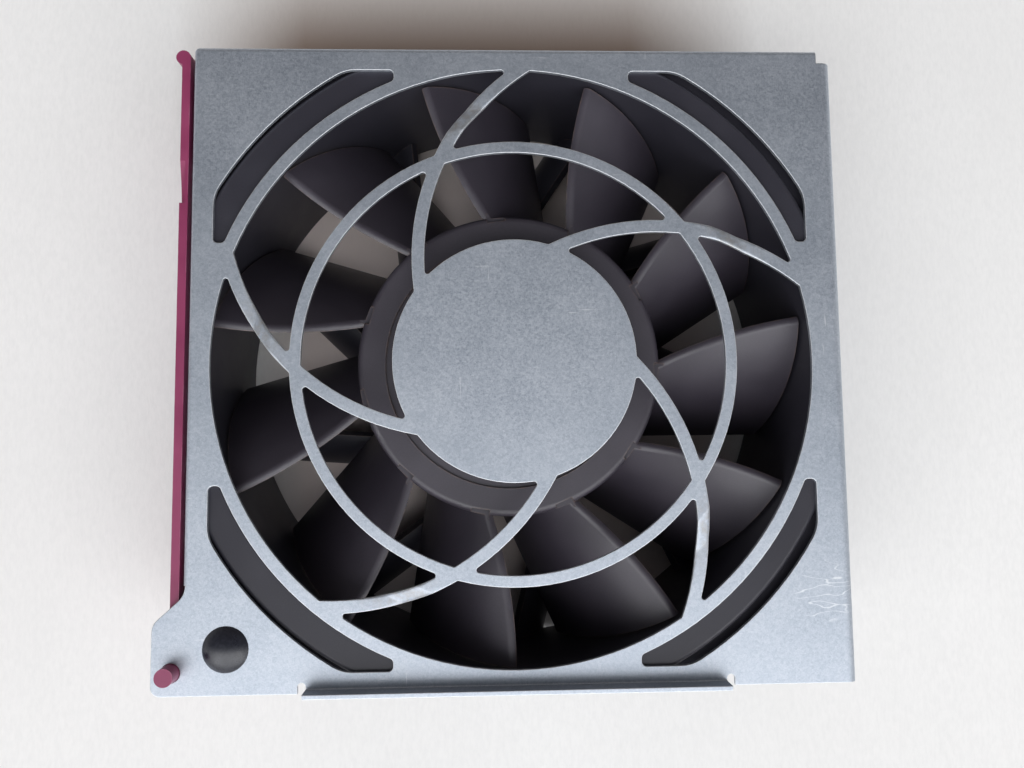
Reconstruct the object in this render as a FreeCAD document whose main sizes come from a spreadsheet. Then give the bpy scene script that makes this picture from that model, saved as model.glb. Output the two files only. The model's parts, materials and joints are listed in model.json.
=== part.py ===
import FreeCAD, Part
import math
import os

import Sketcher
from FreeCAD import Placement, Rotation, Vector

# Hot-plug server fan module: an axial fan in a folded sheet-metal case with a spiral finger guard
# and a pull lever. Millimetres. The origin is on the fan's axis, at the rear face of the fan frame;
# +Z points out of the air inlet, +X to the connector side and +Y away from the lever's pivot.

DRIVING_SIZES = [
    # folded case
    ("sheet_gauge", 0.8, "thickness of the case's steel sheet"),
    ("bend_inside", 0.2, "inside radius of the left and top bends"),
    ("right_bend_inside", 1.2, "inside radius of the right bend"),
    ("side_clearance", 0.2, "play between the fan frame and the left wall"),
    ("top_space", 1.25, "space between the fan frame and the top wall"),
    ("right_space", 4.0, "space between the fan frame and the right wall"),
    ("bottom_overhang", 1.2, "front plate past the fan frame at its bottom edge"),
    ("corner_relief", 2.6, "relief between the top and right walls"),
    ("relief_across", 3.0, "top wall's end from the right wall's outer face"),
    ("wall_foot", 18.5, "end of the left wall above the frame's bottom edge"),
    ("clip_reach", 7.5, "how far the rear clips reach over the frame"),
    ("clip_width", 12.0, "width of a rear clip"),
    ("clip_inset", 18.5, "rear clip's centre from the frame's edge"),
    ("lip_length", 77.5, "length of the turned-up bottom lip"),
    ("lip_height", 3.6, "lip above the plate"),
    ("lip_notch", 1.5, "width of the relief notch at each end of the lip"),
    ("lip_notch_depth", 2.0, "depth of that notch"),
    # finger guard
    ("guard_offset", 0.8, "guard's centre to the right of the fan's axis"),
    ("opening_inset", 2.3, "edge of the plate's air opening inside the frame's width"),
    ("ring_radius", 40.95, "guard ring, at its middle"),
    ("ring_width", 2.1, "width of the guard ring"),
    ("disc_radius", 22.95, "guard's centre disc"),
    ("guard_rise", 1.9, "how far ring and disc stand proud of the plate"),
    ("step_inner", 45.5, "inner radius of the step in each arm"),
    ("step_outer", 49.5, "outer radius of the step in each arm"),
    ("arm_count", 5, "spiral arms"),
    ("arm_width", 2.35, "width of an arm"),
    ("arm_bow", 45.74, "radius of an arm's arc"),
    ("arm_centre", 33.83, "distance of that arc's centre from the guard's centre"),
    ("arm_phase", 35.3, "direction of the first arc's centre, degrees"),
    ("window_round", 0.55, "corner radius of the guard's windows"),
    ("slot_gap", 2.3, "plate left between the air opening and a corner slot"),
    ("slot_margin", 2.45, "straight sides of the corner slots inside the frame's width"),
    ("slot_bulge", 8.45, "outer arc of a corner slot beyond the line of its straight sides"),
    ("slot_end", 2.13, "width of a corner slot at its tips"),
    ("slot_shoulder", 7.5, "radius between a slot's straight side and its outer arc"),
    # lever and its tabs
    ("pivot_out", 1.8, "lever pivot outside the left wall"),
    ("pivot_up", 3.0, "lever pivot above the frame's bottom edge"),
    ("tab_margin", 3.55, "tab's edge beyond the pivot"),
    ("slope_head", 0.5, "head of the tab's sloping edge inside the left wall's face"),
    ("slope_low", 11.6, "foot of the tab's sloping edge above the frame's bottom edge"),
    ("slope_high", 16.8, "head of the tab's sloping edge above the frame's bottom edge"),
    ("rear_tab_level", 3.5, "top face of the rear tab above the frame's rear face"),
    ("pin_radius", 1.65, "lever's moulded pins"),
    ("pin_play", 0.1, "radial play of a pin in its tab"),
    ("pin_stand", 3.4, "front pin proud of the plate"),
    ("lever_play", 0.3, "play between the lever and each tab"),
    ("lever_gauge", 1.6, "thickness of the lever's web"),
    ("lever_gap", 0.95, "gap between the lever and the left wall"),
    ("lever_over", 0.4, "centre of the lever's bead past the frame's top edge"),
    ("bead_radius", 1.4, "bead along the lever's free edge"),
    ("barrel_radius", 2.45, "barrel round the lever's pivot"),
    ("grip_rail", 7.5, "width of the lever's two side rails"),
    ("grip_low", 23.5, "foot of the finger window above the frame's bottom edge"),
    ("grip_high", 17.5, "head of the finger window below the frame's top edge"),
    # fan frame
    ("fan_width", 119.0, "outer width of the fan frame"),
    ("fan_depth", 38.0, "depth of the fan frame"),
    ("hole_inset", 7.0, "corner holes from the frame's edges"),
    ("hole_radius", 2.25, "radius of the rear ears' holes"),
    ("rivet_hole", 2.5, "radius of the front ears' holes"),
    ("duct_inset", 1.1, "duct's inside face from the frame's edges"),
    ("duct_wall", 0.95, "wall of the duct"),
    ("flange_reach", 5.3, "inlet flange's radius beyond half the frame's width"),
    ("flange_depth", 2.6, "depth of the inlet flange"),
    ("inlet_round", 0.9, "rounding of the duct's inlet edge"),
    ("ear_recess", 2.0, "front ears behind the inlet flange"),
    ("ear_depth", 3.5, "thickness of a corner ear"),
    ("ear_round", 4.0, "corner radius of the ears"),
    ("base_radius", 29.8, "motor base"),
    ("base_floor", 2.0, "floor of the motor base"),
    ("base_rim", 6.8, "height of the motor base's rim"),
    ("base_wall", 1.5, "wall of that rim"),
    ("post_wall", 1.4, "wall of the post that carries the motor"),
    ("post_height", 21.0, "top of that post"),
    ("vane_count", 9, "outlet guide vanes"),
    ("vane_offset", 22.0, "rear edge of a vane from the line through the axis"),
    ("vane_sweep", 6.5, "how far a vane leans"),
    ("vane_depth", 7.8, "axial depth of a vane"),
    ("vane_width", 1.8, "thickness of a vane"),
    ("vane_phase", 136.0, "direction of the first vane, degrees"),
    # impeller
    ("blade_count", 11, "blades"),
    ("tip_clearance", 0.5, "blade tip to duct"),
    ("hub_radius", 29.8, "outside radius of the hub"),
    ("hub_front", 32.8, "front face of the hub"),
    ("hub_rear", 7.8, "rear rim of the hub"),
    ("hub_wall", 1.5, "wall of the hub"),
    ("hub_round", 1.3, "rounding of the hub's front edge"),
    ("hub_dish", 24.3, "radius of the shallow dish in the hub's face"),
    ("hub_dish_depth", 0.5, "depth of that dish"),
    ("nick_length", 3.6, "nick in the hub's front edge at each blade, along the edge"),
    ("nick_depth", 1.1, "depth of that nick"),
    ("blade_front_root", 31.0, "level of the leading edge at the root plane"),
    ("blade_front_middle", 32.8, "level of the leading edge at the middle plane"),
    ("blade_front_tip", 34.3, "level of the leading edge at the tip plane"),
    ("blade_rear", 8.9, "trailing edge of the blades"),
    ("blade_lead_root", -2.27, "leading edge at the root plane, across the blade's line"),
    ("blade_lead_middle", 5.15, "leading edge at the middle plane, across the blade's line"),
    ("blade_lead_tip", 8.27, "leading edge at the tip plane, across the blade's line"),
    ("blade_trail", 12.95, "trailing edge behind the blade's line"),
    ("blade_bow", 44.0, "radius of a blade's camber"),
    ("blade_width", 1.9, "thickness of a blade along the rotation"),
    # motor
    ("seat_play", 0.02, "radial play of seated round parts"),
    ("yoke_wall", 1.2, "wall of the steel yoke"),
    ("yoke_rear", 8.7, "rear rim of the yoke"),
    ("magnet_wall", 2.5, "wall of the magnet ring"),
    ("magnet_height", 18.0, "height of the magnet ring"),
    ("air_gap", 0.5, "gap between the magnet and the stator"),
    ("shaft_radius", 2.0, "shaft"),
    ("shaft_rear", 2.6, "rear end of the shaft"),
    ("bush_radius", 4.0, "bush that joins the shaft to the yoke"),
    ("bush_flange", 6.0, "flange of that bush"),
    ("bush_length", 6.0, "length of that bush"),
    ("bearing_outer", 5.5, "outside radius of a bearing"),
    ("bearing_height", 4.0, "height of a bearing"),
    ("race_wall", 0.95, "wall of a bearing ring"),
    ("ball_radius", 1.0, "bearing balls"),
    ("ball_count", 7, "balls in a bearing"),
    ("ball_play", 0.04, "play between a ball and its races"),
    ("rear_bearing", 5.2, "rear face of the rear bearing"),
    ("front_bearing", 18.2, "rear face of the front bearing"),
    ("sleeve_wall", 1.5, "wall of the brass bearing sleeve"),
    ("sleeve_rear", 3.4, "rear end of that sleeve"),
    ("sleeve_front", 22.6, "front end of that sleeve"),
    ("sleeve_step", 0.6, "shoulder that keeps the bearings apart"),
    ("core_rear", 11.2, "rear face of the stator core"),
    ("core_height", 10.0, "height of the lamination stack"),
    ("core_ring", 3.6, "ring of the core round the post"),
    ("tooth_count", 6, "stator teeth"),
    ("tooth_width", 5.0, "width of a tooth"),
    ("tooth_tip", 1.7, "depth of a tooth's pole shoe"),
    ("shoe_half_angle", 24.0, "half the angle that a pole shoe spans"),
    ("insulator_gauge", 1.2, "thickness of an insulator"),
    ("insulator_margin", 0.5, "insulator beyond the core's teeth"),
    ("coil_build", 1.9, "depth of a winding"),
    ("coil_length", 7.6, "length of a winding along its tooth"),
    ("board_radius", 27.4, "circuit board"),
    ("board_gauge", 1.2, "thickness of the circuit board"),
    ("board_level", 5.6, "rear face of the circuit board"),
    ("board_bore", 10.0, "bore of the circuit board"),
    # connector and fasteners
    ("socket_across", 21.0, "connector housing along Y"),
    ("socket_tall", 9.0, "connector housing along Z"),
    ("socket_deep", 9.0, "connector housing along X"),
    ("socket_inset", 13.0, "connector's centre from the frame's top edge"),
    ("socket_level", 16.0, "connector's middle above the frame's rear face"),
    ("socket_play", 0.25, "play round the connector in its window"),
    ("contact_count", 6, "contacts"),
    ("contact_pitch", 2.54, "pitch of the contacts"),
    ("contact_size", 1.0, "width of a contact"),
    ("rivet_head", 4.2, "radius of the rivet's head"),
    ("rivet_dome", 1.7, "height of the rivet's head"),
    ("rivet_play", 0.1, "play of the rivet's shank"),
]


class Dim:
    """A length that carries its value and the sheet expression that it comes from."""

    def __init__(self, value, text):
        self.value = value
        self.text = text

    def join(self, other, sign, value):
        return Dim(value, "(%s %s %s)" % (self.text, sign, dim(other).text))

    def __add__(self, other):
        return self.join(other, "+", self.value + dim(other).value)

    def __sub__(self, other):
        return self.join(other, "-", self.value - dim(other).value)

    def __mul__(self, other):
        return self.join(other, "*", self.value * dim(other).value)

    def __truediv__(self, other):
        return self.join(other, "/", self.value / dim(other).value)

    def __radd__(self, other):
        return dim(other) + self

    def __rsub__(self, other):
        return dim(other) - self

    def __rmul__(self, other):
        return dim(other) * self

    def __neg__(self):
        return dim(0) - self


def dim(number):
    """Wraps a plain number so that it can stand beside a size from the sheet."""
    return number if isinstance(number, Dim) else Dim(float(number), repr(number))


def root(square):
    return Dim(math.sqrt(square.value), "sqrt(%s)" % square.text)


def cosine(angle):
    return Dim(math.cos(math.radians(angle.value)), "cos(%s)" % angle.text)


def sine(angle):
    return Dim(math.sin(math.radians(angle.value)), "sin(%s)" % angle.text)


def other_leg(hypotenuse, leg):
    """The second leg of a right triangle, such as half a chord at a known offset."""
    return root(hypotenuse * hypotenuse - leg * leg)


class SizeSheet:
    """The spreadsheet of driving sizes; each alias reads as an attribute that is a Dim."""

    def __init__(self, document, rows):
        self.cells = document.addObject("Spreadsheet::Sheet", "Sizes")
        for row, (alias, value, meaning) in enumerate(rows, start=1):
            self.cells.set("A%d" % row, alias)
            self.cells.set("B%d" % row, str(value))
            self.cells.set("C%d" % row, meaning)
            self.cells.setAlias("B%d" % row, alias)
            setattr(self, alias, Dim(float(value), "Sizes.%s" % alias))


doc = FreeCAD.newDocument("server_fan_module")
size = SizeSheet(doc, DRIVING_SIZES)
doc.recompute()

# Levels and edges that several pieces share.
half = size.fan_width / 2
plate_back = size.fan_depth
plate_front = plate_back + size.sheet_gauge
case_left = -(half + size.side_clearance + size.sheet_gauge)
case_right = half + size.right_space + size.sheet_gauge
case_top = half + size.top_space + size.sheet_gauge
case_bottom = -(half + size.bottom_overhang)
left_wall_foot = size.wall_foot - half
slope_low = size.slope_low - half
slope_high = size.slope_high - half
pivot_x = case_left - size.pivot_out
pivot_y = size.pivot_up - half
tab_left = pivot_x - size.tab_margin
opening_radius = half - size.opening_inset
slot_inner = opening_radius + size.slot_gap
slot_side = half - size.slot_margin
slot_outer = slot_side + size.slot_bulge
slot_inner_end = slot_side - size.slot_end
slot_tip = other_leg(slot_inner, slot_inner_end)
hole_place = half - size.hole_inset
duct_inside = half - size.duct_inset
duct_outside = duct_inside + size.duct_wall
flange_radius = half + size.flange_reach
hub_inside = size.hub_radius - size.hub_wall
yoke_outside = hub_inside - size.seat_play
yoke_inside = yoke_outside - size.yoke_wall
yoke_front = size.hub_front - size.hub_dish_depth - size.hub_wall
magnet_outside = yoke_inside - size.seat_play
magnet_inside = magnet_outside - size.magnet_wall
stator_radius = magnet_inside - size.air_gap
sleeve_outside = size.bearing_outer + size.seat_play + size.sleeve_wall
post_inside = sleeve_outside + size.seat_play
post_outside = post_inside + size.post_wall
core_inside = post_outside + size.seat_play
ear_front = size.fan_depth - size.ear_recess
lever_inside = case_left - size.lever_gap
lever_outside = lever_inside - size.lever_gauge
lever_rear = size.rear_tab_level + size.lever_play
lever_front = plate_back - size.lever_play
lever_top = half + size.lever_over
socket_centre = half - size.socket_inset


def bind(item, prop, length):
    item.setExpression(prop, dim(length).text)


def new_body(name):
    body = doc.addObject("PartDesign::Body", name)
    body.Label = name
    body.AllowCompound = True
    return body


def new_sketch(body, plane, name, across=0, up=0, lift=0, turn=None):
    """A sketch on one of the body's origin planes, shifted in and off that plane. XZ's own normal
    is -Y. With turn, the sketch is turned about its own vertical axis."""
    sketch = body.newObject("Sketcher::SketchObject", "%s_%s" % (body.Name, name))
    origin_plane = [f for f in body.Origin.OriginFeatures if f.Role == plane][0]
    sketch.AttachmentSupport = [(origin_plane, "")]
    sketch.MapMode = "FlatFace"
    shift = Vector(dim(across).value, dim(up).value, dim(lift).value)
    spin = Rotation(Vector(0, 1, 0), dim(turn).value) if turn is not None else Rotation()
    sketch.AttachmentOffset = Placement(shift, spin)
    bind(sketch, "AttachmentOffset.Base.x", across)
    bind(sketch, "AttachmentOffset.Base.y", up)
    bind(sketch, "AttachmentOffset.Base.z", lift)
    if turn is not None:
        bind(sketch, "AttachmentOffset.Rotation.Angle", turn)
    return sketch


def hold(sketch, kind, length, *places):
    """Adds a dimension to the sketch and binds it to the sheet."""
    index = sketch.addConstraint(Sketcher.Constraint(kind, *places, dim(length).value))
    bind(sketch, "Constraints[%d]" % index, length)


def circle(sketch, radius, x=0, y=0):
    centre = Vector(dim(x).value, dim(y).value, 0)
    index = sketch.addGeometry(Part.Circle(centre, Vector(0, 0, 1), dim(radius).value), False)
    hold(sketch, "Radius", radius, index)
    hold(sketch, "DistanceX", x, index, 3)
    hold(sketch, "DistanceY", y, index, 3)


class Bow:
    """A curved side of an outline: turn is 1 where it runs counter-clockwise and -1 otherwise.
    Without a centre, its two corners and the radius settle it."""

    def __init__(self, radius, turn, centre=None):
        self.radius = dim(radius)
        self.turn = turn
        self.centre = centre

    def middle(self, start, end):
        if self.centre:
            return Vector(dim(self.centre[0]).value, dim(self.centre[1]).value, 0)
        chord = end - start
        sag = math.sqrt(self.radius.value ** 2 - chord.Length ** 2 / 4)
        inward = Vector(-chord.y, chord.x, 0).normalize() * self.turn
        return (start + end) / 2 + inward * sag


def outline(sketch, corners, bows=None):
    """Draws a closed outline. A corner's coordinate that is a Dim is bound to the sheet; a plain
    float is a first guess that the sides meeting there settle. bows maps a side's number, from
    its first corner, to its Bow."""
    bows = bows or {}
    count = len(corners)
    points = [Vector(dim(x).value, dim(y).value, 0) for x, y in corners]
    ends = []
    for side in range(count):
        start, end = points[side], points[(side + 1) % count]
        if side not in bows:
            index = sketch.addGeometry(Part.LineSegment(start, end), False)
            ends.append((index, 1, 2))
            continue
        bow = bows[side]
        middle = bow.middle(start, end)
        first, last = (start, end) if bow.turn > 0 else (end, start)
        ring = Part.Circle(middle, Vector(0, 0, 1), bow.radius.value)
        from_angle = math.atan2(first.y - middle.y, first.x - middle.x)
        to_angle = math.atan2(last.y - middle.y, last.x - middle.x)
        index = sketch.addGeometry(Part.ArcOfCircle(ring, from_angle, to_angle), False)
        ends.append((index, 1, 2) if bow.turn > 0 else (index, 2, 1))
        hold(sketch, "Radius", bow.radius, index)
        if bow.centre:
            hold(sketch, "DistanceX", bow.centre[0], index, 3)
            hold(sketch, "DistanceY", bow.centre[1], index, 3)
    for side in range(count):
        index, _, tail = ends[side]
        following, head, _ = ends[(side + 1) % count]
        sketch.addConstraint(Sketcher.Constraint("Coincident", index, tail, following, head))
    for side, (x, y) in enumerate(corners):
        index, head, _ = ends[side]
        if isinstance(x, Dim):
            hold(sketch, "DistanceX", x, index, head)
        if isinstance(y, Dim):
            hold(sketch, "DistanceY", y, index, head)


def rectangle(sketch, low_x, high_x, low_y, high_y):
    low_x, high_x, low_y, high_y = [dim(n) for n in (low_x, high_x, low_y, high_y)]
    outline(sketch, [(low_x, low_y), (high_x, low_y), (high_x, high_y), (low_x, high_y)])


def pad(body, sketch, length, backwards=False):
    feature = body.newObject("PartDesign::Pad", sketch.Name + "_pad")
    feature.Profile = sketch
    feature.Reversed = backwards
    feature.Length = dim(length).value
    bind(feature, "Length", length)
    return feature


def solid_volume(body):
    doc.recompute()
    return body.Tip.Shape.Volume


def pocket(body, sketch, length, forwards=False):
    """Cuts from the sketch against its normal, or along it with forwards."""
    before = solid_volume(body)
    feature = body.newObject("PartDesign::Pocket", sketch.Name + "_pocket")
    feature.Profile = sketch
    feature.Reversed = forwards
    feature.Length = dim(length).value
    bind(feature, "Length", length)
    if solid_volume(body) >= before:
        raise RuntimeError("%s cuts nothing" % feature.Name)
    return feature


def revolve(body, sketch):
    feature = body.newObject("PartDesign::Revolution", sketch.Name + "_turn")
    feature.Profile = sketch
    feature.ReferenceAxis = (sketch, ["V_Axis"])
    feature.Angle = 360
    return feature


def groove(body, sketch):
    before = solid_volume(body)
    feature = body.newObject("PartDesign::Groove", sketch.Name + "_groove")
    feature.Profile = sketch
    feature.ReferenceAxis = (sketch, ["V_Axis"])
    feature.Angle = 360
    if solid_volume(body) >= before:
        raise RuntimeError("%s cuts nothing" % feature.Name)
    return feature


def polar(body, features, sketch, count):
    """Repeats features round the normal through the sketch's origin."""
    feature = body.newObject("PartDesign::PolarPattern", features[0].Name + "_polar")
    feature.Originals = features
    feature.Axis = (sketch, ["N_Axis"])
    feature.Angle = 360
    feature.Occurrences = int(count.value)
    bind(feature, "Occurrences", count)
    body.Tip = feature
    return feature


def fillet(body, radius, chosen, name):
    """Rounds the edges of the body for which chosen(edge) holds."""
    doc.recompute()
    base = body.Tip
    names = ["Edge%d" % (i + 1) for i, edge in enumerate(base.Shape.Edges) if chosen(edge)]
    if not names:
        raise RuntimeError("%s finds no edge for %s" % (body.Label, name))
    feature = body.newObject("PartDesign::Fillet", "%s_%s" % (body.Name, name))
    feature.Base = (base, names)
    feature.Radius = dim(radius).value
    bind(feature, "Radius", radius)
    return feature


def near(first, second, tolerance=0.02):
    return abs(first - dim(second).value) < tolerance


def runs_along(edge, axis):
    """Whether a straight edge runs along a row axis, 0 to 2."""
    if edge.Degenerated or not isinstance(edge.Curve, (Part.Line, Part.LineSegment)):
        return False
    way = (edge.Vertexes[1].Point - edge.Vertexes[0].Point).normalize()
    return abs(abs(way[axis]) - 1) < 1e-6


def edge_at(axis, x=None, y=None, z=None):
    """Picks straight edges along an axis, at the given coordinates."""
    def chosen(edge):
        if not runs_along(edge, axis):
            return False
        point = edge.CenterOfMass
        wanted = ((point.x, x), (point.y, y), (point.z, z))
        return all(limit is None or near(value, limit) for value, limit in wanted)
    return chosen


def ring_edge_at(radius, level):
    """Picks circular edges about the row's Z axis."""
    def chosen(edge):
        if edge.Degenerated or not isinstance(edge.Curve, Part.Circle):
            return False
        middle = edge.Curve.Center
        centred = math.hypot(middle.x, middle.y) < 1e-3
        return centred and near(edge.Curve.Radius, radius) and near(middle.z, level)
    return chosen


def turned(name, corners, bows=None):
    """A piece turned about the Z axis from a half section of (radius, level) corners."""
    body = new_body(name)
    sketch = new_sketch(body, "XZ_Plane", "section")
    outline(sketch, corners, bows)
    revolve(body, sketch)
    return body


def tube(name, inner, outer, low, high):
    inner, outer, low, high = [dim(n) for n in (inner, outer, low, high)]
    return turned(name, [(inner, low), (outer, low), (outer, high), (inner, high)])


def disc_piece(name, outer, low, high):
    return tube(name, 0, outer, low, high)


# ---- folded case ---------------------------------------------------------------------------------

def guard_window(body, name, inner, outer):
    """One opening of the guard, between two arms and the circles inner and outer. Its four sides
    are arcs: the two circles, the trailing side of one arm and the leading side of the next."""
    top = plate_front + size.guard_rise
    sketch = new_sketch(body, "XY_Plane", name, across=size.guard_offset, lift=top)
    step = dim(360) / size.arm_count
    near_centre = (size.arm_centre * cosine(size.arm_phase), size.arm_centre * sine(size.arm_phase))
    far_phase = size.arm_phase - step
    far_centre = (size.arm_centre * cosine(far_phase), size.arm_centre * sine(far_phase))
    near_side = size.arm_bow - size.arm_width / 2
    far_side = size.arm_bow + size.arm_width / 2

    def crossing(circle_radius, arm_side, phase):
        """Where an arm's side crosses a circle about the guard's centre."""
        reach = size.arm_centre.value
        cosine_law = (circle_radius.value ** 2 + reach ** 2 - arm_side.value ** 2)
        cosine_law /= 2 * circle_radius.value * reach
        angle = math.radians(phase.value) + math.acos(cosine_law)
        return circle_radius.value * math.cos(angle), circle_radius.value * math.sin(angle)

    corners = [
        crossing(inner, near_side, size.arm_phase),
        crossing(outer, near_side, size.arm_phase),
        crossing(outer, far_side, far_phase),
        crossing(inner, far_side, far_phase),
    ]
    axis = (0, 0)
    outline(sketch, corners, {
        0: Bow(near_side, -1, near_centre),
        1: Bow(outer, -1, axis),
        2: Bow(far_side, 1, far_centre),
        3: Bow(inner, 1, axis),
    })
    cut = pocket(body, sketch, size.guard_rise + size.sheet_gauge)
    return polar(body, [cut], sketch, size.arm_count)


def finger_guard(body):
    """The drawn centre of the plate: a raised disc and ring, with the step that the arms follow."""
    section = new_sketch(body, "XY_Plane", "guard_blank", across=size.guard_offset, lift=plate_front)
    circle(section, size.step_outer)
    pocket(body, section, size.sheet_gauge)
    joined = size.step_outer + size.sheet_gauge / 2
    raised_back = plate_back + size.guard_rise
    raised_front = plate_front + size.guard_rise
    drawn = new_sketch(body, "XZ_Plane", "guard_section", across=size.guard_offset)
    outline(drawn, [
        (dim(0), raised_back), (size.step_inner, raised_back), (size.step_outer, plate_back),
        (joined, plate_back), (joined, plate_front), (size.step_outer, plate_front),
        (size.step_inner, raised_front), (dim(0), raised_front)])
    revolve(body, drawn)
    ring_inside = size.ring_radius - size.ring_width / 2
    ring_outside = size.ring_radius + size.ring_width / 2
    guard_window(body, "inner_window", size.disc_radius, ring_inside)
    guard_window(body, "outer_window", ring_outside, opening_radius)


def window_corner(edge):
    """Upright corner edges of the guard's windows."""
    point = edge.CenterOfMass
    reach = math.hypot(point.x - size.guard_offset.value, point.y)
    return runs_along(edge, 2) and reach < opening_radius.value + 0.1


def corner_slots(body):
    """Four crescent slots in the plate's corners, beyond the air opening."""
    sketch = new_sketch(body, "XY_Plane", "corner_slot", across=size.guard_offset, lift=plate_front)
    side = slot_side
    shoulder = other_leg(slot_outer, side).value
    inner_end = slot_inner_end.value
    axis = (0, 0)
    outline(sketch, [
        (side, shoulder), (shoulder, side), (slot_tip, side), (slot_tip, inner_end),
        (inner_end, slot_tip), (side, slot_tip)],
        {0: Bow(slot_outer, 1, axis), 3: Bow(slot_inner, -1, axis)})
    cut = pocket(body, sketch, size.sheet_gauge)
    polar(body, [cut], sketch, dim(4))


def slot_tip_corner(edge):
    point = edge.CenterOfMass
    x, y = abs(point.x - size.guard_offset.value), abs(point.y)
    at_tip = near(min(x, y), slot_tip, 0.2) and max(x, y) > slot_inner_end.value - 0.2
    return runs_along(edge, 2) and at_tip


def slot_shoulder_corner(edge):
    point = edge.CenterOfMass
    x, y = abs(point.x - size.guard_offset.value), abs(point.y)
    shoulder = other_leg(slot_outer, slot_side)
    at_shoulder = near(max(x, y), slot_side, 0.2) and near(min(x, y), shoulder, 0.2)
    return runs_along(edge, 2) and at_shoulder


def bent_wall(body, plane, name, edge, way, bend, start, length):
    """A wall folded back from the plate: its outer face stands at edge and the plate lies on the
    side that way points to, 1 or -1. The fold runs along the plane's normal from start."""
    gauge = size.sheet_gauge
    outer = bend + gauge
    sketch = new_sketch(body, plane, name, lift=start)
    inner_face, centre = edge + gauge * way, edge + outer * way
    outline(sketch, [
        (edge, -gauge), (inner_face, -gauge), (inner_face, plate_back - bend),
        (centre, plate_back), (centre, plate_front), (edge, plate_front - outer)],
        {2: Bow(bend, -way), 4: Bow(outer, way)})
    return pad(body, sketch, length)


def corner_fold(body, fold):
    """The drawn corner where the left and top folds meet."""
    sketch = new_sketch(body, "XZ_Plane", "corner_fold", across=case_left + fold, lift=fold - case_top)
    bend = size.bend_inside
    outline(sketch, [
        (-fold, plate_back - bend), (-bend, plate_back - bend), (dim(0), plate_back),
        (dim(0), plate_front)],
        {1: Bow(bend, -1), 3: Bow(fold, 1)})
    feature = revolve(body, sketch)
    feature.Angle = 90
    feature.Reversed = True


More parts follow.
